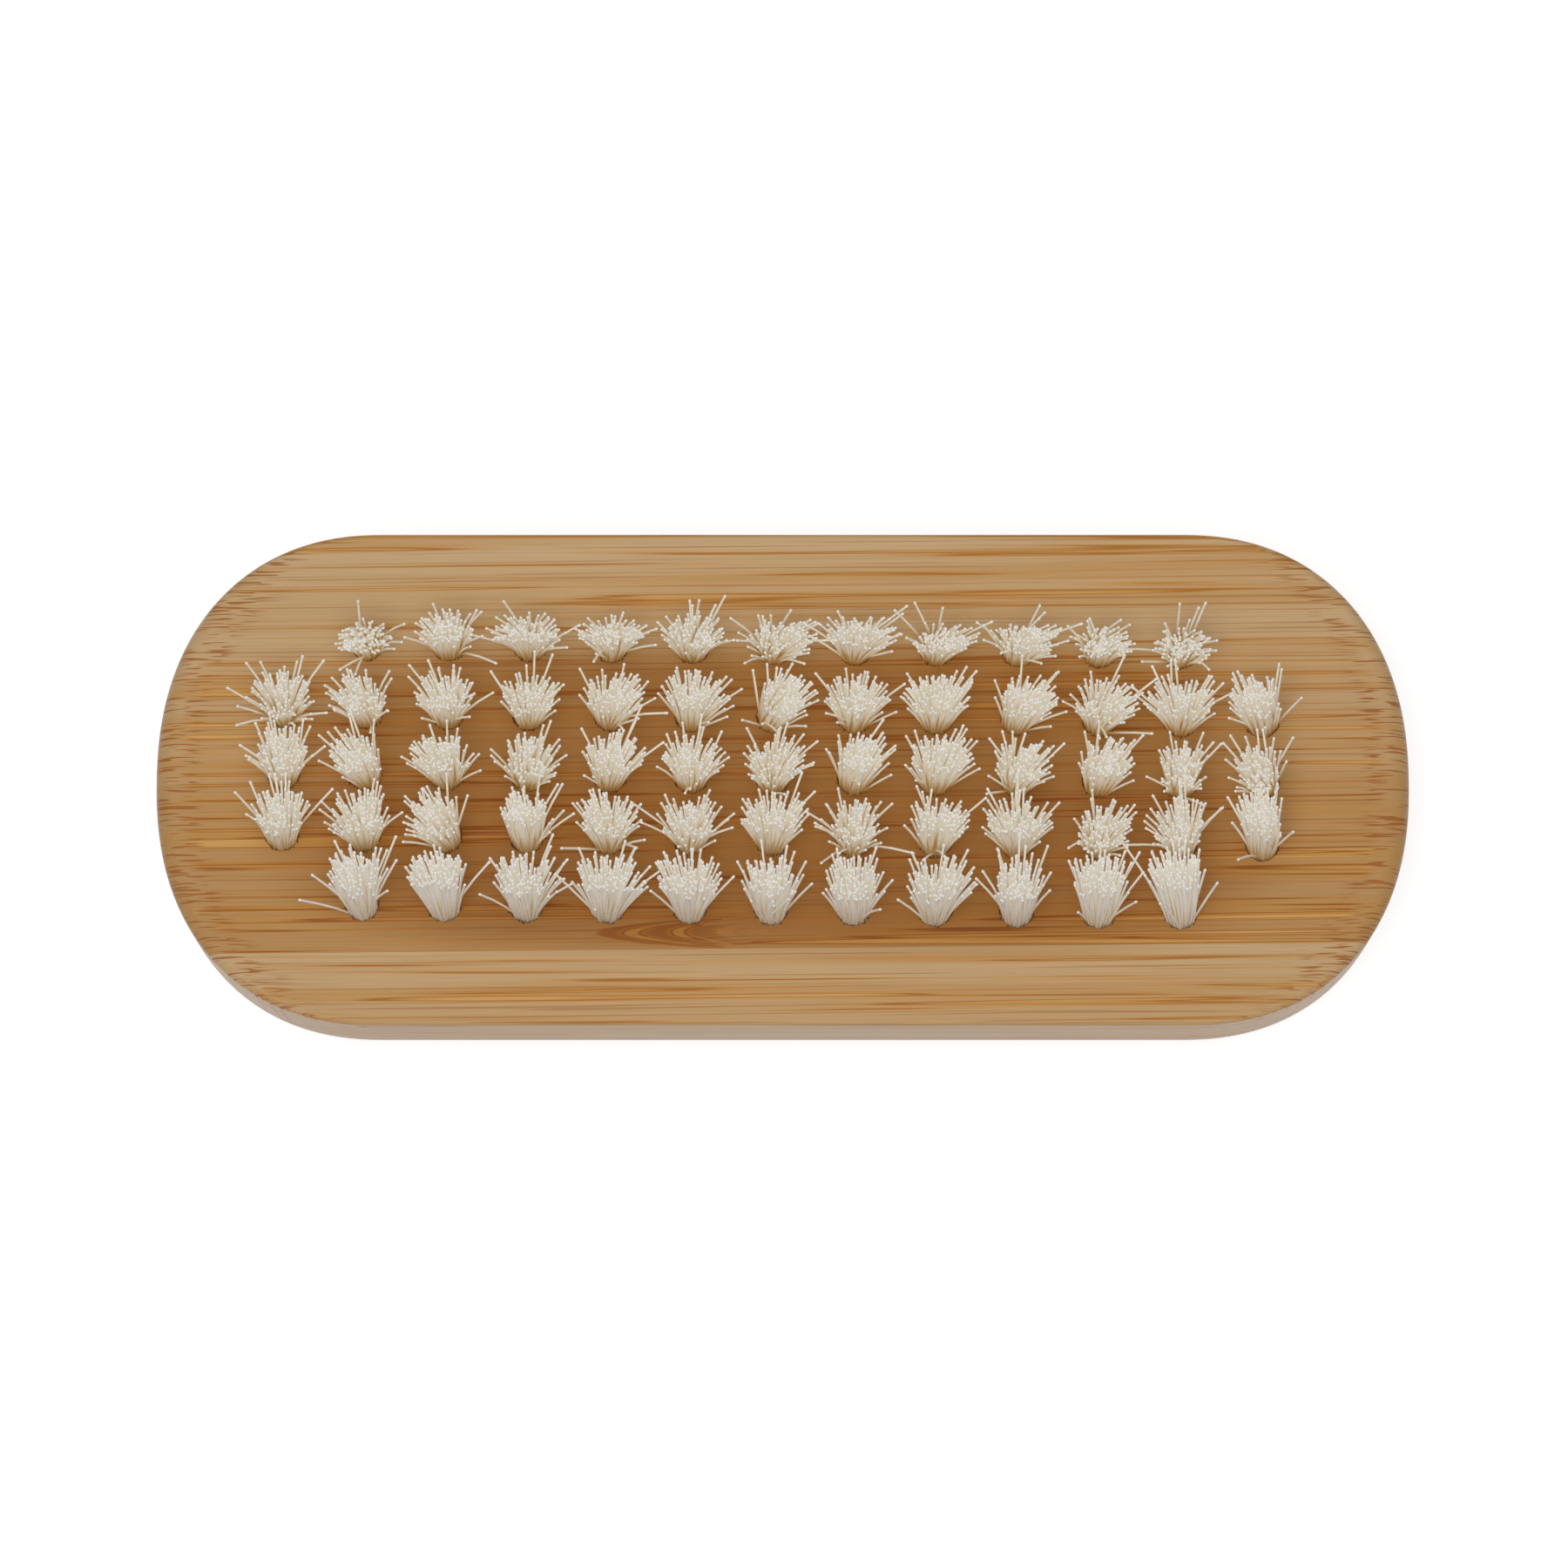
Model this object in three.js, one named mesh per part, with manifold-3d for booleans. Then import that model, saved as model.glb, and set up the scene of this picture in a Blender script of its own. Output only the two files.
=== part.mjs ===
// Nail brush lying on its back: a block of glued bamboo strips, drilled and set with nylon tufts.
// Millimetres. +X runs along the block, +Y towards its back edge, +Z up through the bristles.
import * as THREE from 'three';
import { mergeVertices } from 'three/addons/utils/BufferGeometryUtils.js';
import loadManifold from 'manifold-3d';

const wasm = await loadManifold();
wasm.setup();
const { degToRad } = THREE.MathUtils;

// Block: straight sides, full rounded ends and a back that rounds under
const blockLength = 100;
const blockWidth = 40;
const blockHeight = 15;
const endReach = 18;
const endSquareness = 2.25;
const sideRound = 0.4;
const endRound = 1.6;
const wallHeight = 7.5;
const wallDraft = degToRad(2);
const backReach = 7.5;
const quarterSteps = 11;
const faceRoundSteps = 3;
const backRoundSteps = 6;

// Bamboo strips, glued edge to edge with a glue line down the middle; the outer two are cut to the outline
const stripWidth = 6.9;
const stripsPerSide = 3;
const glueLine = 0.06;
const grainTurn = degToRad(0.6);

// Tuft field: five rows, the outer two without their end tufts
const columnPitch = 6.5;
const innerRowPitch = 5;
const outerRowPitch = 5.6;
const endMargin = 10.5;
const fieldShift = -0.8;
const fieldTurn = degToRad(-0.6);

// Drilled holes
const holeDiameter = 2.7;
const holeDepth = 8;
const holeSides = 12;

// Tufts: each strand stands for a dozen filaments, and a thin slice of the bed joins the strands
const tuftHeight = 8.5;
const strandRadius = 0.26;
const strandTipRadius = 0.42;
const strandClearance = 0.25;
const strandFan = degToRad(60);
const tipReachAlong = 2.4;
const tipReachAcross = 1.5;
const outerRowLean = 1;
const sliceThickness = 0.8;
const sliceClearance = 0.15;

// Flat anchor wires, one through the folds of each column of tufts
const wireThickness = 0.25;
const wireHeight = 1.6;
const wireBite = 0.5;
const foldHeight = 0.8;
const wireClearance = 0.1;

// Levels and places that follow from the sizes above
const holeRadius = holeDiameter / 2;
const holeFloor = blockHeight - holeDepth;
const strandRing = holeRadius - strandClearance - strandRadius;
const sliceMargin = strandRing + strandRadius;
const straightHalf = blockLength / 2 - endReach;
const columnsPerSide = Math.floor((blockLength / 2 - endMargin) / columnPitch);
const outerRowPlace = innerRowPitch + outerRowPitch;
const cutOverrun = 1;

const frontRow = { y: -outerRowPlace, lean: outerRowLean, reach: columnsPerSide - 1 };
const backRow = { y: outerRowPlace, lean: -outerRowLean, reach: columnsPerSide - 1 };
const middleRows = [-innerRowPitch, 0, innerRowPitch].map((y) => ({ y, lean: 0, reach: columnsPerSide }));
const rows = [frontRow, ...middleRows, backRow];

const tuftField = new THREE.Group();
tuftField.position.set(fieldShift, 0, 0);
tuftField.rotation.z = fieldTurn;
tuftField.updateMatrix();

// Closed skin through a stack of convex rings, each listed anticlockwise seen from above.
function loft(rings) {
  const sides = rings[0].length;
  const top = (rings.length - 1) * sides;
  const index = [];
  for (let base = 0; base < top; base += sides) {
    for (let side = 0; side < sides; side += 1) {
      const here = base + side;
      const next = base + ((side + 1) % sides);
      index.push(here, next, next + sides, here, next + sides, here + sides);
    }
  }
  for (let side = 1; side + 1 < sides; side += 1) {
    index.push(0, side + 1, side);
    index.push(top, top + side, top + side + 1);
  }
  const skin = new THREE.BufferGeometry().setFromPoints(rings.flat());
  skin.setIndex(index);
  return skin;
}

function toSolid(geometry, placement) {
  const bare = geometry.clone();
  if (placement) {
    bare.applyMatrix4(placement);
  }
  bare.deleteAttribute('normal');
  bare.deleteAttribute('uv');
  const welded = mergeVertices(bare, 1e-5);
  const mesh = new wasm.Mesh({
    numProp: 3,
    vertProperties: Float32Array.from(welded.attributes.position.array),
    triVerts: Uint32Array.from(welded.index.array),
  });
  return new wasm.Manifold(mesh);
}

function toGeometry(solid) {
  const mesh = solid.getMesh();
  const geometry = new THREE.BufferGeometry();
  geometry.setAttribute('position', new THREE.BufferAttribute(Float32Array.from(mesh.vertProperties), 3));
  geometry.setIndex(new THREE.BufferAttribute(Uint32Array.from(mesh.triVerts), 1));
  geometry.computeVertexNormals();
  return geometry;
}

function box(x0, x1, y0, y1, z0, z1) {
  const geometry = new THREE.BoxGeometry(x1 - x0, y1 - y0, z1 - z0);
  return geometry.translate((x0 + x1) / 2, (y0 + y1) / 2, (z0 + z1) / 2);
}

function namedMesh(name, geometry, material) {
  const mesh = new THREE.Mesh(geometry, material);
  mesh.name = name;
  return mesh;
}

function bambooMaterial() {
  return new THREE.MeshStandardMaterial({ color: 0xb28b5d, roughness: 0.55, metalness: 0 });
}

function nylonMaterial() {
  return new THREE.MeshStandardMaterial({ color: 0xe9e1cf, roughness: 0.45, metalness: 0 });
}

function brassMaterial() {
  return new THREE.MeshStandardMaterial({ color: 0xc9a85a, roughness: 0.35, metalness: 1 });
}

// Loop round the block. The profile gives its inset from the widest outline and its height,
// for a share that goes from 0 along the straight sides to 1 at the tip of each end.
function outlineRing(profile) {
  const quarter = [];
  for (let step = 0; step <= quarterSteps; step += 1) {
    const angle = ((step / quarterSteps) * Math.PI) / 2;
    const { inset, z } = profile(Math.cos(angle) ** 2);
    const x = straightHalf + (endReach - inset) * Math.cos(angle) ** (2 / endSquareness);
    const y = (blockWidth / 2 - inset) * Math.sin(angle) ** (2 / endSquareness);
    quarter.push(new THREE.Vector3(x, y, z));
  }
  const mirrored = [...quarter].reverse();
  const place = (points, signX, signY) => points.map((p) => new THREE.Vector3(signX * p.x, signY * p.y, p.z));
  return [
    ...place(quarter, 1, 1),
    ...place(mirrored, -1, 1),
    ...place(quarter.slice(1), -1, -1),
    ...place(mirrored.slice(0, -1), 1, -1),
  ];
}

function blockGeometry() {
  const backHeight = blockHeight - wallHeight;
  const wallInset = wallHeight * Math.tan(wallDraft);
  const rings = [];
  for (let step = 0; step <= backRoundSteps; step += 1) {
    const angle = ((step / backRoundSteps) * Math.PI) / 2;
    const inset = wallInset + backReach * (1 - Math.sin(angle));
    const z = backHeight * (1 - Math.cos(angle));
    rings.push(outlineRing(() => ({ inset, z })));
  }
  for (let step = 0; step <= faceRoundSteps; step += 1) {
    const angle = ((step / faceRoundSteps) * Math.PI) / 2;
    rings.push(outlineRing((endShare) => {
      const round = THREE.MathUtils.lerp(sideRound, endRound, endShare);
      return { inset: round * (1 - Math.cos(angle)), z: blockHeight - round * (1 - Math.sin(angle)) };
    }));
  }
  return loft(rings);
}

function columnsOf(row) {
  const count = 2 * row.reach + 1;
  return Array.from({ length: count }, (_, i) => (i - row.reach) * columnPitch);
}

function holeGeometry(x, y) {
  const hole = new THREE.CylinderGeometry(holeRadius, holeRadius, holeDepth + cutOverrun, holeSides);
  return hole.rotateX(Math.PI / 2).translate(x, y, holeFloor + (holeDepth + cutOverrun) / 2);
}

// Thin bed under the holes of some neighbouring rows, grown all round by a clearance for its slot.
function sliceGeometry(bedRows, grow) {
  const reach = bedRows[0].reach * columnPitch + sliceMargin + grow;
  const front = bedRows[0].y - sliceMargin - grow;
  const back = bedRows.at(-1).y + sliceMargin + grow;
  return box(-reach, reach, front, back, holeFloor - sliceThickness - grow, holeFloor + grow);
}

// Flat wire through every fold of one column, grown all round by a clearance for its slit.
function wireGeometry(column, grow) {
  const held = rows.filter((row) => Math.abs(column) <= row.reach);
  const x = column * columnPitch;
  const half = wireThickness / 2 + grow;
  const front = held[0].y - holeRadius - wireBite - grow;
  const back = held.at(-1).y + holeRadius + wireBite + grow;
  const low = holeFloor + foldHeight;
  return box(x - half, x + half, front, back, low - grow, low + wireHeight + grow);
}

const wireColumns = Array.from({ length: 2 * columnsPerSide + 1 }, (_, i) => i - columnsPerSide);
const beds = { tufts_front_row: [frontRow], tufts_middle_rows: middleRows, tufts_back_row: [backRow] };

function drilledBlock() {
  const cuts = [];
  for (const row of rows) {
    for (const x of columnsOf(row)) {
      cuts.push(holeGeometry(x, row.y));
    }
  }
  for (const bedRows of Object.values(beds)) {
    cuts.push(sliceGeometry(bedRows, sliceClearance));
  }
  for (const column of wireColumns) {
    cuts.push(wireGeometry(column, wireClearance));
  }
  const tools = cuts.map((cut) => toSolid(cut, tuftField.matrix));
  return toSolid(blockGeometry()).subtract(wasm.Manifold.union(tools));
}

function bambooStrips() {
  const block = drilledBlock();
  const outer = blockWidth / 2 + blockLength * Math.tan(Math.abs(grainTurn)) + cutOverrun;
  const turn = new THREE.Matrix4().makeRotationZ(grainTurn);
  const strips = [];
  for (let i = -stripsPerSide; i < stripsPerSide; i += 1) {
    const front = i === -stripsPerSide ? -outer : i * stripWidth + glueLine / 2;
    const back = i === stripsPerSide - 1 ? outer : (i + 1) * stripWidth - glueLine / 2;
    const slab = box(-blockLength, blockLength, front, back, -cutOverrun, blockHeight + cutOverrun);
    const strip = block.intersect(toSolid(slab, turn));
    strips.push(namedMesh(`bamboo_strip_${strips.length + 1}`, toGeometry(strip), bambooMaterial()));
  }
  return strips;
}

// Three-sided strand from the bed straight up to the face, then leaning and opening to its tip.
function strandGeometry(side, root, tip) {
  const ring = (point, radius, z) => [0, 1, 2].map((corner) => {
    const angle = (corner * 2 * Math.PI) / 3 + (side < 0 ? Math.PI : 0);
    const x = point.x + radius * Math.cos(angle);
    return new THREE.Vector3(x, point.y + radius * Math.sin(angle), z);
  });
  return loft([
    ring(root, strandRadius, holeFloor - sliceThickness / 2),
    ring(root, strandRadius, blockHeight),
    ring(tip, strandTipRadius, blockHeight + tuftHeight),
  ]);
}

// Both legs of one folded tuft: an upright strand beside the wire and three that lean outwards.
function tuftStrands(x, row) {
  const strands = [];
  for (const side of [-1, 1]) {
    const upright = new THREE.Vector2(x + (side * strandRing) / 2, row.y);
    strands.push(strandGeometry(side, upright, new THREE.Vector2(upright.x, row.y + row.lean)));
    for (const angle of [-strandFan, 0, strandFan]) {
      const along = side * Math.cos(angle);
      const across = Math.sin(angle);
      const root = new THREE.Vector2(x + strandRing * along, row.y + strandRing * across);
      const tipY = row.y + row.lean + tipReachAcross * across;
      strands.push(strandGeometry(side, root, new THREE.Vector2(x + tipReachAlong * along, tipY)));
    }
  }
  return strands;
}

function tuftMesh(name, bedRows) {
  const pieces = [sliceGeometry(bedRows, 0)];
  for (const row of bedRows) {
    for (const x of columnsOf(row)) {
      pieces.push(...tuftStrands(x, row));
    }
  }
  const tufts = wasm.Manifold.union(pieces.map((piece) => toSolid(piece)));
  return namedMesh(name, toGeometry(tufts), nylonMaterial());
}

function wireMesh(column) {
  const number = String(column + columnsPerSide + 1).padStart(2, '0');
  return namedMesh(`anchor_wire_${number}`, wireGeometry(column, 0), brassMaterial());
}

for (const [name, bedRows] of Object.entries(beds)) {
  tuftField.add(tuftMesh(name, bedRows));
}
tuftField.add(...wireColumns.map(wireMesh));

const nailBrush = new THREE.Group();
nailBrush.add(...bambooStrips(), tuftField);

export default nailBrush;
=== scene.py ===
import math

import bmesh
import bpy
import numpy as np
from mathutils import Matrix, Vector


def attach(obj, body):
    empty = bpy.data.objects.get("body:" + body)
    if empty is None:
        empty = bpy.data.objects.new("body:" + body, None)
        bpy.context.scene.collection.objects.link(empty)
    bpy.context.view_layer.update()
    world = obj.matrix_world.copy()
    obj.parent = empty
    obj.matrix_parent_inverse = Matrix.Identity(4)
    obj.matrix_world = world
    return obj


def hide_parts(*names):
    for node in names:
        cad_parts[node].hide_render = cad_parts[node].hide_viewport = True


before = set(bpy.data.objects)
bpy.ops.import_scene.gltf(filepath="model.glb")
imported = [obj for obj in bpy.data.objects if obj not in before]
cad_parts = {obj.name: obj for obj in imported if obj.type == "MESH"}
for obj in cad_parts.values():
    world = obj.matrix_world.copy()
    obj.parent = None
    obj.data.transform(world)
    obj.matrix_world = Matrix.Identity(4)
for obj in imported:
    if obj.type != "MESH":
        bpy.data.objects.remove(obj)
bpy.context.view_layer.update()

# Bamboo block: six strips glued edge to edge, then sanded to one outline. The sides are almost upright,
# the back rounds under to a flat, and the face edge is crisp along the sides and softer round the ends.
mm = 0.001
block_length, block_width, block_height = 100, 40, 15
end_reach, end_squareness = 18, 2.25
side_round, end_round = 0.4, 1.6
wall_height, wall_draft, back_reach = 7.5, math.radians(2), 7.5
quarter_steps, back_steps, edge_steps = 44, 14, 8


def outline_loop(profile):
    """Points round the block; profile gives inset and height for a share from 0, sides, to 1, end tips."""
    quarter = []
    for step in range(quarter_steps + 1):
        angle = step / quarter_steps * math.pi / 2
        inset, z = profile(math.cos(angle) ** 2)
        x = block_length / 2 - end_reach + (end_reach - inset) * math.cos(angle) ** (2 / end_squareness)
        y = (block_width / 2 - inset) * math.sin(angle) ** (2 / end_squareness)
        quarter.append((x, y, z))
    mirrored = quarter[::-1]
    loop = quarter + [(-x, y, z) for x, y, z in mirrored]
    loop += [(-x, -y, z) for x, y, z in quarter[1:]] + [(x, -y, z) for x, y, z in mirrored[:-1]]
    return loop


def block_mesh():
    wall_inset = wall_height * math.tan(wall_draft)
    back_height = block_height - wall_height
    loops = []
    for step in range(back_steps + 1):
        angle = step / back_steps * math.pi / 2
        inset = wall_inset + back_reach * (1 - math.sin(angle))
        z = back_height * (1 - math.cos(angle))
        loops.append(outline_loop(lambda share: (inset, z)))
    for step in range(edge_steps + 1):
        turn = step / edge_steps * math.pi / 2

        def edge(share):
            soft = side_round + (end_round - side_round) * share
            return soft * (1 - math.cos(turn)), block_height - soft * (1 - math.sin(turn))

        loops.append(outline_loop(edge))
    count = len(loops[0])
    top = (len(loops) - 1) * count
    faces = [tuple(range(count))[::-1], tuple(range(top, top + count))]
    for base in range(0, top, count):
        for i in range(count):
            j = (i + 1) % count
            faces.append((base + i, base + j, base + j + count, base + i + count))
    mesh = bpy.data.meshes.new("block")
    mesh.from_pydata([Vector(point) * mm for loop in loops for point in loop], [], faces)
    return mesh


# Tuft holes: five rows drilled with a blunt bit, a little askew to the block; the outer rows lack their end
# holes. Each rim is chipped and scorched, and a slit each side of the floor takes the ends of the anchor.
column_pitch, columns_per_side = 6.5, 6
row_places, row_reaches = (-10.6, -5, 0, 5, 10.6), (5, 6, 6, 6, 5)
field = Matrix.Translation((-0.8, 0, 0)) @ Matrix.Rotation(math.radians(-0.6), 4, "Z")
hole_radius, hole_depth, drill_point = 1.35, 8, 0.5
hole_floor = block_height - hole_depth
chip_size, chip_limit, chip_depth = 0.04, 0.1, 0.4
wire_thickness, wire_height, wire_bite, fold_height = 0.25, 1.6, 0.5, 0.8
slit_room = 0.1
holes = [
    (row, column * column_pitch, row_places[row])
    for row in range(len(row_places))
    for column in range(-row_reaches[row], row_reaches[row] + 1)
]


def drill_mesh(sides=40):
    chips = np.random.default_rng(11)
    made = bmesh.new()
    whole = np.zeros(sides)
    for _, x, y in holes:
        torn = np.clip(chips.normal(0.0, chip_size, sides), 0, chip_limit)
        torn = (torn + np.roll(torn, 1)) / 2
        levels = (
            (block_height + 1, torn),
            (block_height, torn),
            (block_height - chip_depth, whole),
            (hole_floor, whole),
        )
        rings = []
        for z, extra in levels:
            ring = []
            for i in range(sides):
                angle = i / sides * 2 * math.pi
                reach = hole_radius + extra[i]
                point = Vector((x + reach * math.cos(angle), y + reach * math.sin(angle), z))
                ring.append(made.verts.new(field @ point * mm))
            rings.append(ring)
        made.faces.new(rings[0])
        tip = made.verts.new(field @ Vector((x, y, hole_floor - drill_point)) * mm)
        for i in range(sides):
            j = (i + 1) % sides
            for upper, lower in zip(rings, rings[1:]):
                made.faces.new((upper[i], lower[i], lower[j], upper[j]))
            made.faces.new((rings[-1][i], tip, rings[-1][j]))
    mesh = bpy.data.meshes.new("drill")
    made.to_mesh(mesh)
    made.free()
    return mesh


def add_flat_wire(made, x, y, room):
    """One anchor across a hole, in a mesh that is being made, with room all round it for a slit."""
    size = Vector((wire_thickness, 2 * (hole_radius + wire_bite), wire_height)) + Vector((room, room, room))
    middle = Matrix.Translation((x, y, hole_floor + fold_height + wire_height / 2))
    placed = Matrix.Scale(mm, 4) @ field @ middle @ Matrix.Diagonal(size).to_4x4()
    bmesh.ops.create_cube(made, size=1, matrix=placed)


def slit_mesh():
    made = bmesh.new()
    for _, x, y in holes:
        add_flat_wire(made, x, y, slit_room)
    mesh = bpy.data.meshes.new("slits")
    made.to_mesh(mesh)
    made.free()
    return mesh


cutters = []
for cutter_mesh in (drill_mesh(), slit_mesh()):
    cutter = bpy.data.objects.new(cutter_mesh.name, cutter_mesh)
    bpy.context.collection.objects.link(cutter)
    cutters.append(cutter)

# Bamboo fibre: bundles run the length of a strip in pale pith, closer towards its front edge. The face grazes
# them, so they show as long golden bands with a light core between two thin brown lines. At the rounded ends
# they are cut short and show as dashes, and on the end walls as dots.
strip_width, grain_turn = 6.9, math.radians(0.6)


def add_node(tree, kind, inputs=None, **settings):
    made = tree.nodes.new(kind)
    for name, value in settings.items():
        setattr(made, name, value)
    for key, value in (inputs or {}).items():
        if isinstance(value, bpy.types.NodeSocket):
            tree.links.new(value, made.inputs[key])
        else:
            made.inputs[key].default_value = value
    return made


def calc(tree, operation, *terms):
    return add_node(tree, "ShaderNodeMath", dict(enumerate(terms)), operation=operation).outputs[0]


def fade(tree, value, full, none):
    """1 where value is at full, 0 where it is at none, eased between."""
    low, high, start = (full, none, 1.0) if full < none else (none, full, 0.0)
    span = {"Value": value, "From Min": low, "From Max": high, "To Min": start, "To Max": 1.0 - start}
    return add_node(tree, "ShaderNodeMapRange", span, interpolation_type="SMOOTHSTEP").outputs[0]


def tint(tree, factor, below, above):
    return add_node(tree, "ShaderNodeMix", {0: factor, 6: below, 7: above}, data_type="RGBA").outputs[2]


def srgb(*levels):
    """Colour from screen levels, as a shader takes it."""
    shares = [level / 255 for level in levels]
    return (*[s / 12.92 if s <= 0.04045 else ((s + 0.055) / 1.055) ** 2.4 for s in shares], 1.0)


def place_in_mm(tree):
    place = add_node(tree, "ShaderNodeTexCoord").outputs["Object"]
    return add_node(tree, "ShaderNodeVectorMath", {0: place, "Scale": 1 / mm}, operation="SCALE").outputs[0]


def turned_back(tree, place, angle):
    """Along, across and height of a place, for grain or holes that are turned by an angle."""
    turn = {"Vector": place, "Angle": -angle}
    turned = add_node(tree, "ShaderNodeVectorRotate", turn, rotation_type="Z_AXIS").outputs[0]
    return add_node(tree, "ShaderNodeSeparateXYZ", {0: turned}).outputs


fibre = bpy.data.node_groups.new("bamboo_fibre", "ShaderNodeTree")
for name in ("Seed", "Front Edge", "Fill", "Tone", "Knot", "Knot Along", "Knot Across"):
    fibre.interface.new_socket(name, in_out="INPUT", socket_type="NodeSocketFloat")
for name, kind in (("Color", "Color"), ("Roughness", "Float"), ("Height", "Float")):
    fibre.interface.new_socket(name, in_out="OUTPUT", socket_type=f"NodeSocket{kind}")
given = add_node(fibre, "NodeGroupInput").outputs
along, across, height = turned_back(fibre, place_in_mm(fibre), grain_turn)


def times(*factors):
    product = factors[0]
    for factor in factors[1:]:
        product = calc(fibre, "MULTIPLY", product, factor)
    return product


def noise_at(x, y, z, detail):
    vector = add_node(fibre, "ShaderNodeCombineXYZ", {0: x, 1: y, 2: z}).outputs[0]
    return add_node(fibre, "ShaderNodeTexNoise", {"Vector": vector, "Scale": 1.0, "Detail": detail}).outputs[0]


def grain_noise(length, width, shift, detail):
    """Noise drawn out to a length along the grain and a width across it, shifted apart for each use."""
    x = calc(fibre, "DIVIDE", along, length)
    y = calc(fibre, "DIVIDE", across, width)
    z = calc(fibre, "DIVIDE", height, width)
    return noise_at(x, y, calc(fibre, "ADD", z, calc(fibre, "ADD", given["Seed"], shift)), detail)


def swing(noise, amount):
    return times(calc(fibre, "SUBTRACT", noise, 0.5), amount)


# Where on the strip: dense near the front edge, in the knot's nested arches, on the walls, near the end tips.
dense = calc(fibre, "DIVIDE", calc(fibre, "SUBTRACT", across, given["Front Edge"]), strip_width)
dense = add_node(fibre, "ShaderNodeClamp", {"Value": calc(fibre, "SUBTRACT", 1.0, dense)}).outputs[0]
from_knot = calc(fibre, "SUBTRACT", along, given["Knot Along"])
knot_off = calc(fibre, "SUBTRACT", across, given["Knot Across"])
arch = calc(fibre, "SUBTRACT", times(knot_off, knot_off, 5.8), from_knot)
in_knot = times(fade(fibre, arch, -0.3, 1.2), fade(fibre, from_knot, 6.0, 13.0), given["Knot"])
face_edge = block_height - end_round
on_wall = fade(fibre, height, face_edge - 0.8, face_edge)
on_face = calc(fibre, "MULTIPLY_ADD", on_wall, -0.4, 1.0)
end_x = calc(fibre, "SUBTRACT", calc(fibre, "ABSOLUTE", along), block_length / 2 - end_reach)
end_x = calc(fibre, "DIVIDE", calc(fibre, "MAXIMUM", end_x, 0.0), end_reach)
end_x = calc(fibre, "POWER", end_x, end_squareness)
end_y = calc(fibre, "DIVIDE", calc(fibre, "ABSOLUTE", across), block_width / 2)
end_y = calc(fibre, "POWER", end_y, end_squareness)
tip_share = times(fade(fibre, calc(fibre, "ADD", end_x, end_y), 1.0, 0.5), end_x)
lengthwise = times(on_face, fade(fibre, tip_share, 0.1, 0.5))

# Fibre bundles are the places where a drawn-out noise stands above a level: halo, rim and core by height.
bands = grain_noise(length=70, width=1.3, shift=21.0, detail=1.0)
wander = grain_noise(length=50, width=3.0, shift=9.7, detail=0.0)
across = calc(fibre, "ADD", across, swing(wander, 0.3))
across = calc(fibre, "MULTIPLY_ADD", times(in_knot, knot_off), -0.5, across)
streaks = grain_noise(length=7, width=0.13, shift=33.0, detail=3.0)
figure = grain_noise(length=42, width=0.5, shift=0.0, detail=1.0)
curl = grain_noise(length=9, width=0.9, shift=61.0, detail=1.0)
fine_lines = grain_noise(length=34, width=0.2, shift=4.0, detail=1.0)
filled = calc(fibre, "MULTIPLY_ADD", dense, 0.5, given["Fill"])
level = calc(fibre, "SUBTRACT", calc(fibre, "MULTIPLY_ADD", filled, -0.1, 0.72), swing(bands, 0.35))
inside = calc(fibre, "SUBTRACT", figure, level)
waves = calc(fibre, "ADD", swing(curl, 7.0), times(arch, 1.7))
ripple = calc(fibre, "MULTIPLY_ADD", calc(fibre, "SINE", waves), 0.11, -0.05)
inside = calc(fibre, "MULTIPLY_ADD", calc(fibre, "SUBTRACT", ripple, inside), in_knot, inside)
halo = times(fade(fibre, inside, 0.0, -0.14), lengthwise)
rim = times(fade(fibre, calc(fibre, "ABSOLUTE", inside), 0.0, 0.045), lengthwise)
core = times(fade(fibre, inside, 0.12, 0.03), lengthwise, calc(fibre, "MULTIPLY_ADD", in_knot, -0.6, 1.0))
fine = times(fade(fibre, fine_lines, 0.66, 0.57), lengthwise)
dash_length, dash_width = 2.4, 0.15
dash_x, dash_y = calc(fibre, "DIVIDE", along, dash_length), calc(fibre, "DIVIDE", across, dash_width)
dashes = fade(fibre, noise_at(dash_x, dash_y, given["Seed"], 0.0), 0.65, 0.58)
dashes = times(dashes, on_face, fade(fibre, tip_share, 0.2, 0.0))
cut_ends = add_node(fibre, "ShaderNodeCombineXYZ", {0: across, 1: height}).outputs[0]
dots = add_node(fibre, "ShaderNodeTexVoronoi", {"Vector": cut_ends, "Scale": 1.7}, voronoi_dimensions="2D")
dots = times(fade(fibre, dots.outputs[0], 0.16, 0.3), on_wall, fade(fibre, tip_share, 0.5, 0.2))

pale_pith, dense_pith, toasted = srgb(194, 165, 126), srgb(189, 155, 111), srgb(166, 119, 62)
golden_line, brown_line = srgb(164, 106, 42), srgb(132, 72, 17)
colour = tint(fibre, dense, pale_pith, dense_pith)
colour = tint(fibre, given["Tone"], colour, toasted)
rim_colour = tint(fibre, given["Tone"], golden_line, brown_line)
knot_bands = times(in_knot, fade(fibre, ripple, -0.04, 0.0))
for share, laid_over in (
    (times(fade(fibre, bands, 0.7, 0.4), 0.5), srgb(178, 130, 68)),
    (times(fine, 0.5), srgb(154, 96, 36)),
    (knot_bands, srgb(152, 96, 40)),
    (times(halo, 0.55), srgb(186, 128, 48)),
    (times(core, 0.6), srgb(208, 164, 102)),
    (times(rim, 0.95), rim_colour),
    (times(dashes, 0.85), srgb(150, 90, 36)),
    (times(dots, 0.7), srgb(138, 88, 38)),
):
    colour = tint(fibre, share, colour, laid_over)
shade = calc(fibre, "MULTIPLY_ADD", streaks, 0.24, 0.88)
colour = add_node(fibre, "ShaderNodeVectorMath", {0: colour, "Scale": shade}, operation="SCALE").outputs[0]
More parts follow.
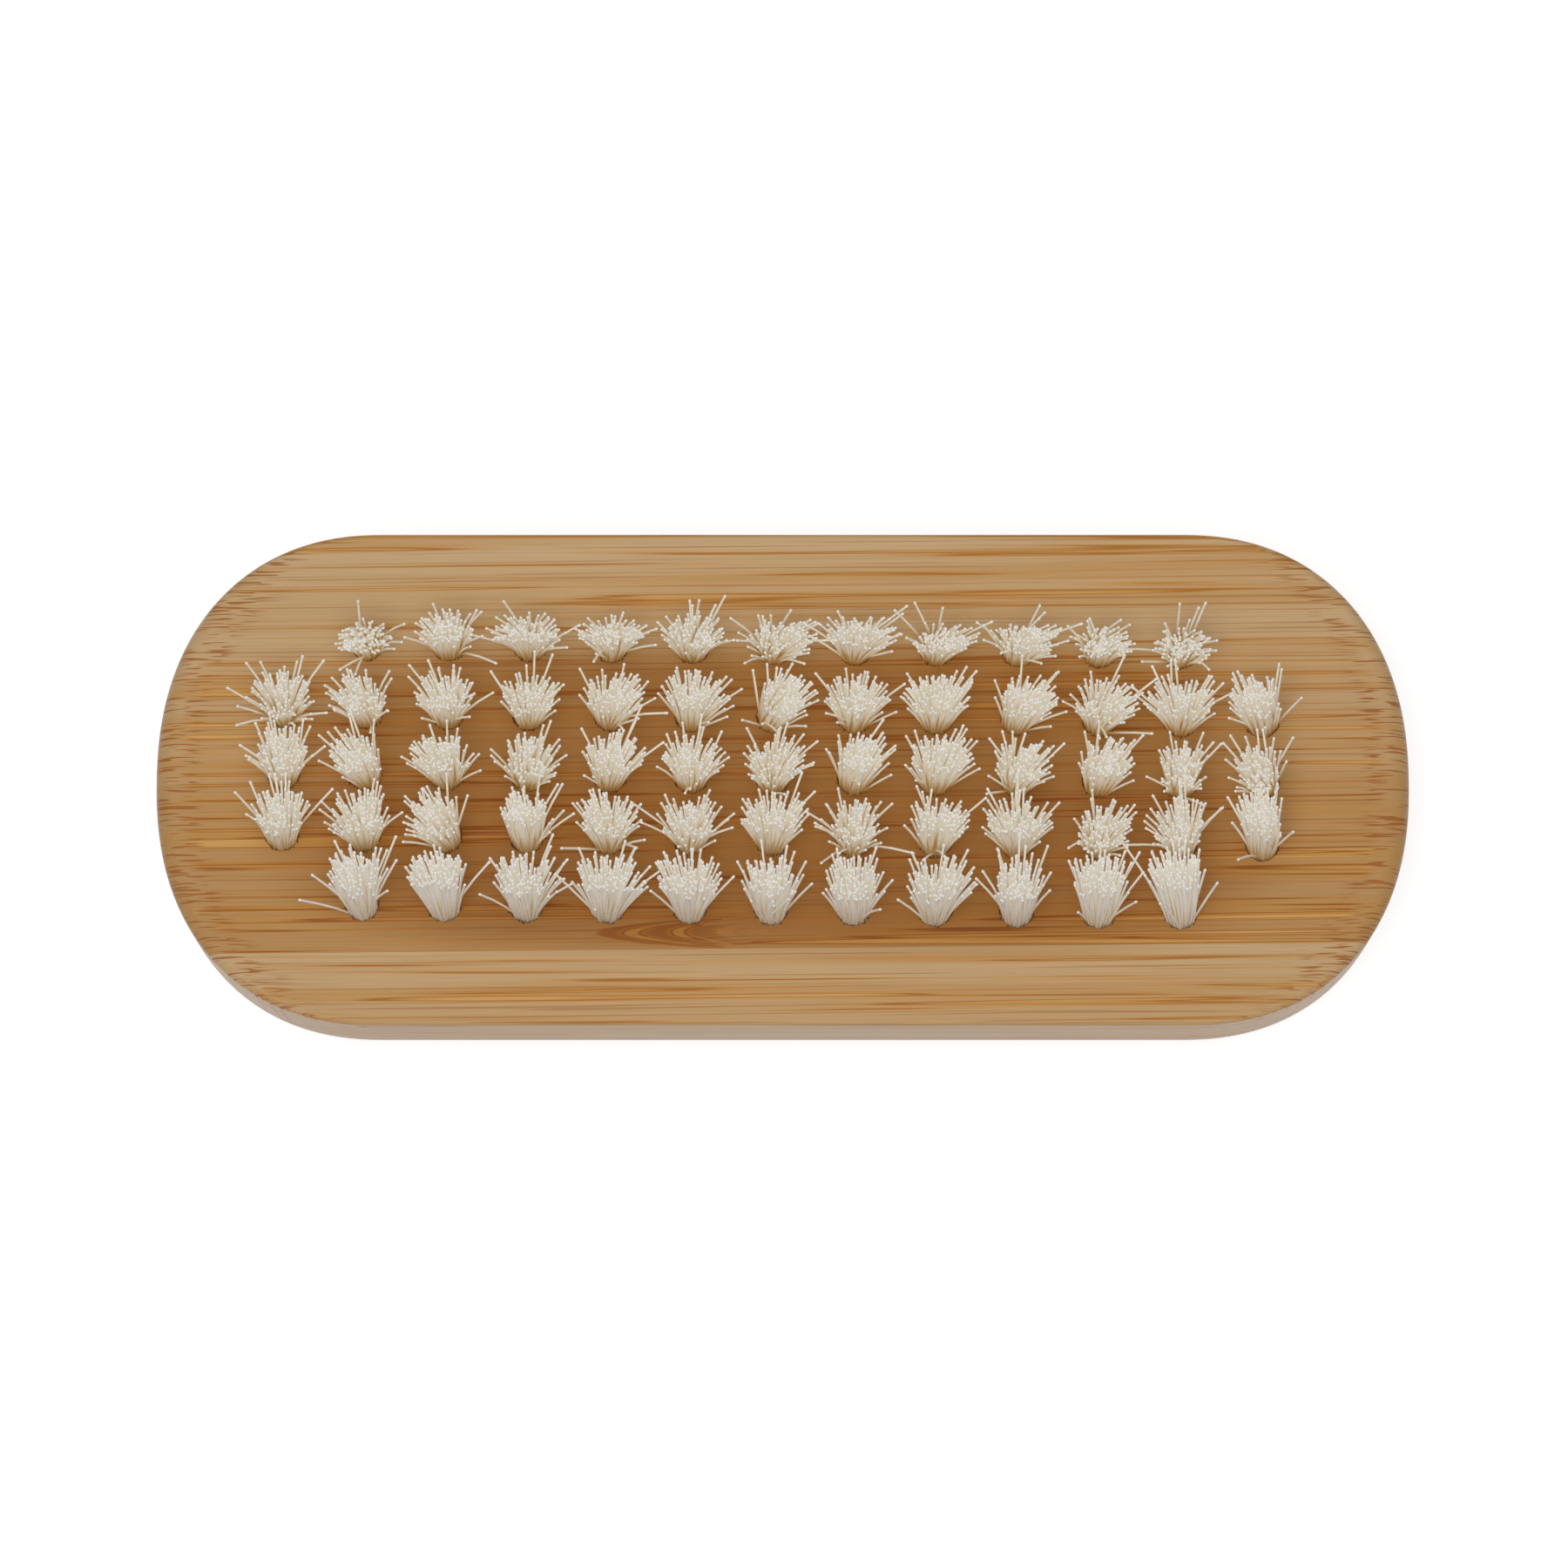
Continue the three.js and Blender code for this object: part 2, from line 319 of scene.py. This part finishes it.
rough = calc(fibre, "MULTIPLY_ADD", streaks, 0.24, 0.36)
relief = calc(fibre, "MULTIPLY_ADD", rim, -0.5, times(streaks, 0.6))
add_node(fibre, "NodeGroupOutput", {"Color": colour, "Roughness": rough, "Height": relief})

# Scorch: the bit burns a thin dark ring round each hole, ragged along its outer edge. Painted shade: the face
# between the tufts is darkened to a warmer brown, which ends a little way outside them. Neither is on the back.
scorch_reach, scorch_end, scorch_ragged = 0.32, 0.5, 0.9
shade_half_length, shade_half_width, shade_off_middle = 42.0, 13.5, 1.5
far_off = 10.0
scorch_and_shade = bpy.data.node_groups.new("drill_scorch_and_shade", "ShaderNodeTree")
for name in ("Burnt", "Shade Between Tufts"):
    scorch_and_shade.interface.new_socket(name, in_out="OUTPUT", socket_type="NodeSocketFloat")
place = place_in_mm(scorch_and_shade)
burr = add_node(scorch_and_shade, "ShaderNodeTexNoise", {"Vector": place, "Scale": 3.0, "Detail": 2.0}).outputs[0]
moved = add_node(scorch_and_shade, "ShaderNodeVectorMath", {0: place, 1: -field.to_translation()}, operation="ADD")
hole_x, hole_y, hole_z = turned_back(scorch_and_shade, moved.outputs[0], field.to_euler().z)
from_centre = calc(scorch_and_shade, "ABSOLUTE", hole_x)
from_middle = calc(scorch_and_shade, "ABSOLUTE", hole_y)
from_column = calc(scorch_and_shade, "WRAP", hole_x, column_pitch / 2, -column_pitch / 2)
# The nearest row is the middle one or one of those beside it, which lie alike on both sides.
from_row = from_middle
for row_place in row_places[3:]:
    from_this = calc(scorch_and_shade, "ABSOLUTE", calc(scorch_and_shade, "SUBTRACT", from_middle, row_place))
    from_row = calc(scorch_and_shade, "MINIMUM", from_row, from_this)
squares = [calc(scorch_and_shade, "MULTIPLY", gap, gap) for gap in (from_column, from_row)]
from_hole = calc(scorch_and_shade, "SQRT", calc(scorch_and_shade, "ADD", *squares))
outer = calc(scorch_and_shade, "GREATER_THAN", from_middle, (row_places[3] + row_places[4]) / 2)
last = calc(scorch_and_shade, "MULTIPLY_ADD", outer, -column_pitch, (columns_per_side + 0.5) * column_pitch)
beyond = calc(scorch_and_shade, "GREATER_THAN", from_centre, last)
from_hole = calc(scorch_and_shade, "MULTIPLY_ADD", beyond, far_off, from_hole)
ragged = calc(scorch_and_shade, "MULTIPLY_ADD", burr, scorch_ragged, from_hole)
burnt = fade(scorch_and_shade, ragged, hole_radius + scorch_reach, hole_radius + scorch_end)
# Painted shade: a soft-edged box over the tuft field, where the face is darkened to a warmer brown.
span_x = calc(scorch_and_shade, "DIVIDE", from_centre, shade_half_length)
span_y = calc(scorch_and_shade, "ABSOLUTE", calc(scorch_and_shade, "ADD", hole_y, shade_off_middle))
span_y = calc(scorch_and_shade, "DIVIDE", span_y, shade_half_width)
spans = [calc(scorch_and_shade, "POWER", span, 4.0) for span in (span_x, span_y)]
shade_between_tufts = fade(scorch_and_shade, calc(scorch_and_shade, "ADD", *spans), 0.2, 1.1)
drilled_side = fade(scorch_and_shade, hole_z, hole_floor - 1.0, hole_floor - 3.0)
burnt, shade_between_tufts = (calc(scorch_and_shade, "MULTIPLY", mask, drilled_side) for mask in (burnt, shade_between_tufts))
add_node(scorch_and_shade, "NodeGroupOutput", {"Burnt": burnt, "Shade Between Tufts": shade_between_tufts})

# Strips: the block is cut along its glue lines, a little askew to the outline, and drilled. Each strip has its
# own grain and tone, one has a knot near its front edge, and a thin satin seal lies over them all.
strips_per_side, glue_line = 3, 0.005
strip_fills = 0.4, 1.0, 0.85, 0.55, 0.4, 0.4
strip_tones = 0.2, 0.7, 0.65, 0.35, 0.15, 0.05
knot_strip, knot_along, knot_across = 1, -14.7, 1.3
# The warm brown is the painted shade between the tufts; the dark brown is the scorch.
painted_shade_brown, burnt_brown = (0.68, 0.535, 0.32, 1), srgb(44, 25, 14)
strips = []
for number in range(2 * strips_per_side):
    line = number - strips_per_side
    made = bmesh.new()
    made.from_mesh(block_mesh())
    limits = []
    if line > -strips_per_side:
        limits.append((line * strip_width + glue_line / 2, -1))
    if line < strips_per_side - 1:
        limits.append(((line + 1) * strip_width - glue_line / 2, 1))
    turn = Matrix.Rotation(grain_turn, 3, "Z")
    for y, side in limits:
        cut = bmesh.ops.bisect_plane(
            made,
            geom=made.verts[:] + made.edges[:] + made.faces[:],
            plane_co=turn @ Vector((0, y * mm, 0)),
            plane_no=turn @ Vector((0, side, 0)),
            clear_outer=True,
        )
        open_edges = [item for item in cut["geom_cut"] if isinstance(item, bmesh.types.BMEdge)]
        bmesh.ops.edgeloop_fill(made, edges=open_edges)
    bmesh.ops.recalc_face_normals(made, faces=made.faces[:])
    mesh = bpy.data.meshes.new("strip")
    made.to_mesh(mesh)
    made.free()
    strip = bpy.data.objects.new(f"strip_{number + 1}", mesh)
    bpy.context.collection.objects.link(strip)
    for cutter in cutters:
        drilled = strip.modifiers.new(cutter.name, "BOOLEAN")
        drilled.operation = "DIFFERENCE"
        drilled.solver = "EXACT"
        drilled.object = cutter
    strips.append(strip)
evaluated = bpy.context.evaluated_depsgraph_get()
strip_meshes = [bpy.data.meshes.new_from_object(strip.evaluated_get(evaluated)) for strip in strips]
for cutter in cutters:
    bpy.data.objects.remove(cutter)
for number, (strip, mesh) in enumerate(zip(strips, strip_meshes)):
    strip.modifiers.clear()
    strip.data = mesh
    mesh.materials.clear()
    mesh.shade_smooth()
    mesh.set_sharp_from_angle(angle=math.radians(32))
    even = strip.modifiers.new("even_normals", "WEIGHTED_NORMAL")
    even.keep_sharp = True
    bamboo = bpy.data.materials.new(f"bamboo_{number + 1}")
    bamboo.use_nodes = True
    tree = bamboo.node_tree
    shader = tree.nodes["Principled BSDF"]
    front = (number - strips_per_side) * strip_width
    grain = {"Seed": 7.3 * number + 2.0, "Front Edge": front}
    grain |= {"Fill": strip_fills[number], "Tone": strip_tones[number]}
    if number == knot_strip:
        grain |= {"Knot": 1.0, "Knot Along": knot_along, "Knot Across": front + knot_across}
    wood = add_node(tree, "ShaderNodeGroup", node_tree=fibre)
    for name, value in grain.items():
        wood.inputs[name].default_value = value
    burn_and_shade = add_node(tree, "ShaderNodeGroup", node_tree=scorch_and_shade)
    # Painted shade: between the tufts the grain colour is multiplied towards a warm brown.
    shaded = add_node(
        tree,
        "ShaderNodeMix",
        {0: burn_and_shade.outputs["Shade Between Tufts"], 6: wood.outputs["Color"], 7: painted_shade_brown},
        data_type="RGBA",
        blend_type="MULTIPLY",
    ).outputs[2]
    tree.links.new(tint(tree, burn_and_shade.outputs["Burnt"], shaded, burnt_brown), shader.inputs["Base Color"])
    tree.links.new(wood.outputs["Roughness"], shader.inputs["Roughness"])
    raised = {"Strength": 0.35, "Distance": 0.03 * mm, "Height": wood.outputs["Height"]}
    tree.links.new(add_node(tree, "ShaderNodeBump", raised).outputs[0], shader.inputs["Normal"])
    shader.inputs["Specular IOR Level"].default_value = 0.1
    shader.inputs["Coat Weight"].default_value = 0.5
    shader.inputs["Coat IOR"].default_value = 1.2
    shader.inputs["Coat Roughness"].default_value = 0.3
    mesh.materials.append(bamboo)
    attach(strip, "root")
    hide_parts(f"bamboo_strip_{number + 1}")

# Anchors: short lengths of flat brass wire, pressed in across the hole over the fold of each tuft,
# with their ends biting into the wood. They lie deep in the holes, out of sight.
wire_edge_round = 0.06
dull_brass, bright_brass = srgb(150, 118, 58), srgb(214, 182, 108)
brass = bpy.data.materials.new("anchor_brass")
brass.use_nodes = True
tree = brass.node_tree
shader = tree.nodes["Principled BSDF"]
shader.inputs["Metallic"].default_value = 1.0
place = add_node(tree, "ShaderNodeTexCoord").outputs["Object"]
drawn = add_node(tree, "ShaderNodeMapping", {"Vector": place, "Scale": (9000.0, 400.0, 9000.0)}).outputs[0]
scratch = add_node(tree, "ShaderNodeTexNoise", {"Vector": drawn, "Scale": 1.0, "Detail": 3.0}).outputs[0]
tree.links.new(tint(tree, scratch, dull_brass, bright_brass), shader.inputs["Base Color"])
tree.links.new(calc(tree, "MULTIPLY_ADD", scratch, 0.3, 0.2), shader.inputs["Roughness"])
for column in range(-columns_per_side, columns_per_side + 1):
    made = bmesh.new()
    for _, x, y in holes:
        if round(x / column_pitch) == column:
            add_flat_wire(made, x, y, 0)
    rounded = {"offset": wire_edge_round * mm, "segments": 2, "affect": "EDGES", "profile": 0.5}
    bmesh.ops.bevel(made, geom=made.edges[:], **rounded)
    mesh = bpy.data.meshes.new("anchors")
    made.to_mesh(mesh)
    made.free()
    mesh.shade_smooth()
    mesh.materials.append(brass)
    number = f"{column + columns_per_side + 1:02d}"
    anchors = bpy.data.objects.new(f"anchors_{number}", mesh)
    bpy.context.collection.objects.link(anchors)
    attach(anchors, "root")
    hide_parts(f"anchor_wire_{number}")

# Tufts: stiff ivory nylon filaments, folded in two under the anchor, so every filament has two ends. They fill
# the hole, fan out above it, more along the brush than across it, and end in blunt whiter tips; some stray.
# The nylon lets light through: shadow rays pass in part, and diffuse rays meet a soft warm light in it.
tuft_height, folds_per_tuft = 8.5, 62
filament_radius, neck_radius, filament_sides = 0.096, 1.25, 6
# How far each tuft leans and its tips reach, in tenths of a millimetre, left to right from the front row.
# A scratch program fitted all but four of these numbers, by comparing test renders with the photograph.
leans_along = (
    (-4, -4, 0, 4, -1, 0, -1, 2, 0, 0, -8),
    (1, 0, -8, -1, 1, 1, 2, 1, 3, -1, 1, -4, -6),
    (3, -7, -3, 5, 6, 1, 3, 6, 4, 5, 5, -1, -8),
    (3, -3, 0, 4, 7, 4, 12, 2, 1, 8, 5, -3, -10),
    (0, 0, 0, 1, 2, 6, 4, 4, 6, 2, -2),
)
leans_across = (
    (13, 13, 7, 11, 9, 9, 9, 9, 9, 15, 20),
    (2, 2, 0, 7, 1, -1, 4, -4, 1, 2, -5, -1, 9),
    (2, -1, -1, -3, 1, 0, -4, 3, 3, -2, 1, -5, -6),
    (-3, -4, -1, -2, -1, 2, -1, 0, 3, 0, -2, 1, 3),
    (-16, -5, -8, -7, -7, -10, -5, -11, -8, -12, -13),
)
reaches_along = (
    (20, 21, 22, 25, 22, 21, 19, 22, 17, 22, 20),
    (18, 24, 18, 17, 23, 22, 24, 22, 20, 25, 21, 20, 18),
    (18, 17, 20, 20, 21, 22, 22, 20, 24, 22, 19, 16, 15),
    (23, 21, 22, 21, 22, 28, 19, 24, 28, 21, 26, 26, 17),
    (20, 20, 25, 25, 22, 23, 28, 23, 23, 19, 21),
)
reaches_across = (
    (15, 13, 15, 15, 15, 13, 17, 15, 15, 15, 15),
    (16, 17, 18, 13, 16, 15, 14, 16, 12, 15, 18, 19, 17),
    (19, 16, 14, 17, 15, 15, 17, 14, 14, 15, 15, 17, 18),
    (19, 14, 14, 15, 15, 14, 15, 15, 15, 15, 15, 14, 16),
    (10, 12, 9, 10, 13, 12, 10, 9, 10, 10, 10),
)
# Painted light and shade: the front row is painted colder in tone, the rows behind it warmer and tan at the
# roots.
row_warm_shades = 0.1, 0.8, 1.0, 1.0, 1.0
front_lit_white, shaded_root_tan, tip_white = srgb(233, 231, 227), srgb(219, 187, 130), srgb(231, 229, 225)
root_glow, tip_glow, passing_tint = (0.47, 0.34, 0.165, 1), (0.82, 0.75, 0.62, 1), (0.97, 0.94, 0.88, 1)
diffuse_passed, shadow_passed = 0.8, 0.4
nylon = bpy.data.materials.new("nylon")
nylon.use_nodes = True
nylon.cycles.emission_sampling = "NONE"
tree = nylon.node_tree
shader = tree.nodes["Principled BSDF"]
shader.inputs["Roughness"].default_value = 0.3
up, own, warm_shade = (
    add_node(tree, "ShaderNodeAttribute", attribute_name=name).outputs["Fac"] for name in ("up", "own", "warm_shade")
)
ivory = tint(tree, own, srgb(237, 233, 224), srgb(243, 241, 235))
# Painted light: the front row is turned towards a cold white. Painted shade: the lower free length goes tan in
# the rows behind it.
ivory = tint(tree, warm_shade, front_lit_white, ivory)
ivory = tint(tree, calc(tree, "MULTIPLY", warm_shade, fade(tree, up, 0.0, 0.5)), ivory, shaded_root_tan)
colour = tint(tree, fade(tree, up, 0.97, 0.93), ivory, tip_white)
tree.links.new(colour, shader.inputs["Base Color"])
rays = add_node(tree, "ShaderNodeLightPath").outputs
inner = tint(tree, fade(tree, up, 0.9, 0.0), root_glow, tip_glow)
glow = add_node(tree, "ShaderNodeEmission", {"Color": inner})
passed_on = calc(tree, "MULTIPLY", rays["Is Diffuse Ray"], diffuse_passed)
lit = add_node(tree, "ShaderNodeMixShader", {0: passed_on, 1: shader.outputs[0], 2: glow.outputs[0]})
clear = add_node(tree, "ShaderNodeBsdfTransparent", {"Color": passing_tint})
casting = calc(tree, "MULTIPLY", rays["Is Shadow Ray"], shadow_passed)
mixed = add_node(tree, "ShaderNodeMixShader", {0: casting, 1: lit.outputs[0], 2: clear.outputs[0]})
tree.links.new(mixed.outputs[0], tree.nodes["Material Output"].inputs["Surface"])

# Share of the free length and girth at each ring above the face, swelling at the cut tip.
rise_stations = (0.0, 1.0), (0.3, 1.0), (0.65, 1.0), (0.95, 1.0), (0.97, 1.28), (0.99, 1.15), (1.0, 0.35)
fold_level = hole_floor + fold_height
fold_dip, fold_sag, fold_gap = 0.15, 0.35, 0.1
# In the hole a leg narrows towards the fold, and its place along runs from -1 at the fold to 0 at the face.
fold_narrow, wire_narrow, fold_place, wire_place = 0.75, 0.9, -0.7, -0.4
golden_turn, any_turn, first_seed = math.pi * (3 - math.sqrt(5)), 6.28, 500
# How a tuft parts in two, bows, scatters and clumps, and how far its outer filaments are thrown.
most_split, parting, bows = 0.45, 0.1, (0.2, 0.45)
root_scatter, tip_scatter, corner_reach = 0.03, 0.14, 0.25
clumping, clump_along, clump_across = 0.1, 3.1, 4.3
outer_throw, front_share = 0.42, 0.4
cut_lengths, lowest_rise = (0.93, 1.01), 3.0
# Strays, of which the untidy tuft at the left end of the second row from the back has the most.
stray_share, untidy_share, untidy_tuft = 0.065, 0.18, (3, 0)
stray_pull, stray_scatter, stray_throws, stray_bows = (0, 0.6), 0.7, (0.7, 2.5), (0.0, 0.6)
map_side, map_end, map_girth = 0.02, 0.01, 0.002
for row in range(len(row_places)):
    paths, girths, ups, owns = [], [], [], []
    row_holes = [(tuft, x, y) for tuft, (hole_row, x, y) in enumerate(holes) if hole_row == row]
    for place, (tuft, hole_x, hole_y) in enumerate(row_holes):
        draw = np.random.default_rng(first_seed + tuft)
        spiral = np.arange(2 * folds_per_tuft) + 0.5
        radius = neck_radius * np.sqrt(spiral / (2 * folds_per_tuft))
        angle = spiral * golden_turn + draw.uniform(0, any_turn)
        spread = np.stack([radius * np.cos(angle), radius * np.sin(angle)], 1)
        left_legs = spread[np.argsort(spread[:, 0])][:folds_per_tuft]
        lean = np.array([leans_along[row][place], leans_across[row][place]]) / 10
        fan = np.array([reaches_along[row][place], reaches_across[row][place]]) / 10 / neck_radius
        split = draw.uniform(0, most_split) ** 2
        bowed = draw.uniform(*bows)
        loose_share = untidy_share if (row, place) == untidy_tuft else stray_share
        parted = draw.normal(0, parting, 2)
        clump = draw.uniform(0, any_turn, 4)
        for leg in left_legs:
            legs = []
            for side in (-1, 1):
                root = leg * (-side, 1) + draw.normal(0, root_scatter, 2)
                widened = 1 + corner_reach * (root[::-1] / neck_radius) ** 2
                throw = root * (fan * widened - 1) + lean + draw.normal(0, tip_scatter, 2)
                throw -= side * split, parted[(side + 1) // 2]
                throw += clumping * np.sin(clump_along * root + clump[:2])
                throw += clumping * np.sin(clump_across * root[::-1] + clump[2:])
                outward = root / neck_radius * (1, 1 if root[1] > 0 else front_share)
                throw += outward * draw.exponential(outer_throw) * (np.linalg.norm(root) / neck_radius) ** 3
                bow = bowed
                if draw.random() < loose_share:
                    away = draw.normal(stray_pull, stray_scatter, 2) + root
                    throw += away / np.linalg.norm(away) * draw.uniform(*stray_throws)
                    bow = draw.uniform(*stray_bows)
                length = tuft_height * draw.uniform(*cut_lengths)
                rise = math.sqrt(max(length**2 - throw @ throw, lowest_rise**2))
                leg_rings = [
                    (root[0] * fold_narrow + side * fold_gap, root[1], fold_level, 1.0, fold_place),
                    (root[0] * wire_narrow, root[1], fold_level + wire_height, 1.0, wire_place),
                ]
                for share, girth in rise_stations:
                    moved = root + throw * ((1 - bow) * share + bow * share**2)
                    leg_rings.append((*moved, block_height + rise * share, girth, share))
                legs.append(leg_rings)
            fold = (0.0, leg[1], fold_level - fold_dip - fold_sag * abs(leg[0]), 1.0, -1.0)
            line = np.array([*legs[0][::-1], fold, *legs[1]])
            line[:, 0] += hole_x
            line[:, 1] += hole_y
            paths.append(line[:, :3])
            girths.append(line[:, 3])
            ups.append(line[:, 4])
            owns.append(np.full(len(line), draw.random()))
    paths, girths, ups, owns = (np.array(values) for values in (paths, girths, ups, owns))
    turn = np.array(field)
    paths = (paths @ turn[:3, :3].T + turn[:3, 3]) * mm
    tangent = np.gradient(paths, axis=1)
    tangent /= np.linalg.norm(tangent, axis=2, keepdims=True)
    first = np.array((0.0, 1.0, 0.0)) - tangent * tangent[:, :, 1:2]
    first /= np.linalg.norm(first, axis=2, keepdims=True)
    second = np.cross(tangent, first)
    turns = np.arange(filament_sides) / filament_sides * 2 * math.pi
    out = first[:, :, None] * np.cos(turns)[:, None] + second[:, :, None] * np.sin(turns)[:, None]
    points = paths[:, :, None] + out * (girths * filament_radius * mm)[:, :, None, None]
    index = np.arange(points.size // 3).reshape(points.shape[:3])
    after = np.roll(index, -1, axis=2)
    walls = np.stack([index[:, :-1], after[:, :-1], after[:, 1:], index[:, 1:]], -1).reshape(-1, 4)
    caps = np.concatenate([index[:, 0, ::-1], index[:, -1]])
    mesh = bpy.data.meshes.new("bristles")
    mesh.from_pydata(points.reshape(-1, 3).tolist(), [], walls.tolist() + caps.tolist())
    # Map for the bake: across by a filament's own tone, up by the place along it, so like colours share pixels.
    map_across = map_side + (1 - 2 * map_side) * owns[:, :, None] + map_girth * np.cos(turns)
    map_up = map_end + (0.5 - map_end) * (ups[:, :, None] + 1) + map_girth * np.sin(turns)
    spots = np.stack([map_across, map_up], -1).reshape(-1, 2)
    corner_spots = spots[np.concatenate([walls.ravel(), caps.ravel()])]
    bake_map = mesh.uv_layers.new(name="OFBake")
    bake_map.uv.foreach_set("vector", corner_spots.ravel().astype(np.float32))
    # Each row's share of the painted warm shade.
    warm_shade_values = np.full_like(owns, row_warm_shades[row])
    for name, values in (("up", ups), ("own", owns), ("warm_shade", warm_shade_values)):
        stored = mesh.attributes.new(name, "FLOAT", "POINT")
        stored.data.foreach_set("value", np.repeat(values.ravel(), filament_sides).astype(np.float32))
    mesh.shade_smooth()
    mesh.materials.append(nylon)
    bristles = bpy.data.objects.new(f"bristles_row_{row + 1}", mesh)
    bpy.context.collection.objects.link(bristles)
    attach(bristles, "root")
    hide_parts(("tufts_front_row", "tufts_middle_rows", "tufts_back_row")[(row > 0) + (row > 3)])

# Floor and light: a plain pale floor a hair under the brush, white to camera, glossy and transmission rays, in
# an even white surround, with one soft lamp above the front edge.
floor_half, floor_level, floor_white = 3, -0.02 * mm, 0.68
corners = [(x * floor_half, y * floor_half, floor_level) for x, y in ((-1, -1), (1, -1), (1, 1), (-1, 1))]
floor_mesh = bpy.data.meshes.new("floor")
floor_mesh.from_pydata(corners, [], [(0, 1, 2, 3)])
floor = bpy.data.objects.new("floor", floor_mesh)
bpy.context.collection.objects.link(floor)
paper = bpy.data.materials.new("floor_paper")
paper.use_nodes = True
tree = paper.node_tree
shader = tree.nodes["Principled BSDF"]
shader.inputs["Base Color"].default_value = (0.5, 0.5, 0.5, 1)
shader.inputs["Roughness"].default_value = 0.9
shader.inputs["Emission Color"].default_value = (1, 1, 1, 1)
rays = add_node(tree, "ShaderNodeLightPath").outputs
seen = calc(tree, "MAXIMUM", rays["Is Camera Ray"], rays["Is Glossy Ray"])
seen = calc(tree, "MAXIMUM", seen, rays["Is Transmission Ray"])
tree.links.new(calc(tree, "MULTIPLY", seen, floor_white), shader.inputs["Emission Strength"])
floor_mesh.materials.append(paper)

world = bpy.data.worlds.new("studio")
bpy.context.scene.world = world
world.use_nodes = True
surround = world.node_tree.nodes["Background"]
surround.inputs["Color"].default_value = (1, 1, 1, 1)
surround.inputs["Strength"].default_value = 0.5
face_middle = Vector((0, 0, block_height * mm))
lamp = bpy.data.lights.new("key", "AREA")
lamp.size = 0.4
lamp.energy = 3.25
key = bpy.data.objects.new("key", lamp)
key.location = (-0.06, -0.2, 0.8)
key.rotation_euler = (face_middle - key.location).to_track_quat("-Z", "Y").to_euler()
bpy.context.collection.objects.link(key)

# Camera: a long lens steeply above the front edge, as photographed.
photo_width, pixels_per_mm, sensor_width = 1800, 14.41, 36
elevation, distance = math.radians(78), 0.7
target = face_middle + Vector((0.1, -0.5, 0)) * mm
lens = bpy.data.cameras.new("camera")
lens.sensor_width = sensor_width
lens.lens = sensor_width * distance / (photo_width / pixels_per_mm * mm)
camera = bpy.data.objects.new("camera", lens)
bpy.context.collection.objects.link(camera)
camera.location = target + distance * Vector((0, -math.cos(elevation), math.sin(elevation)))
camera.rotation_euler = (target - camera.location).to_track_quat("-Z", "Y").to_euler()
bpy.context.scene.camera = camera
bpy.context.scene.view_settings.view_transform = "Standard"
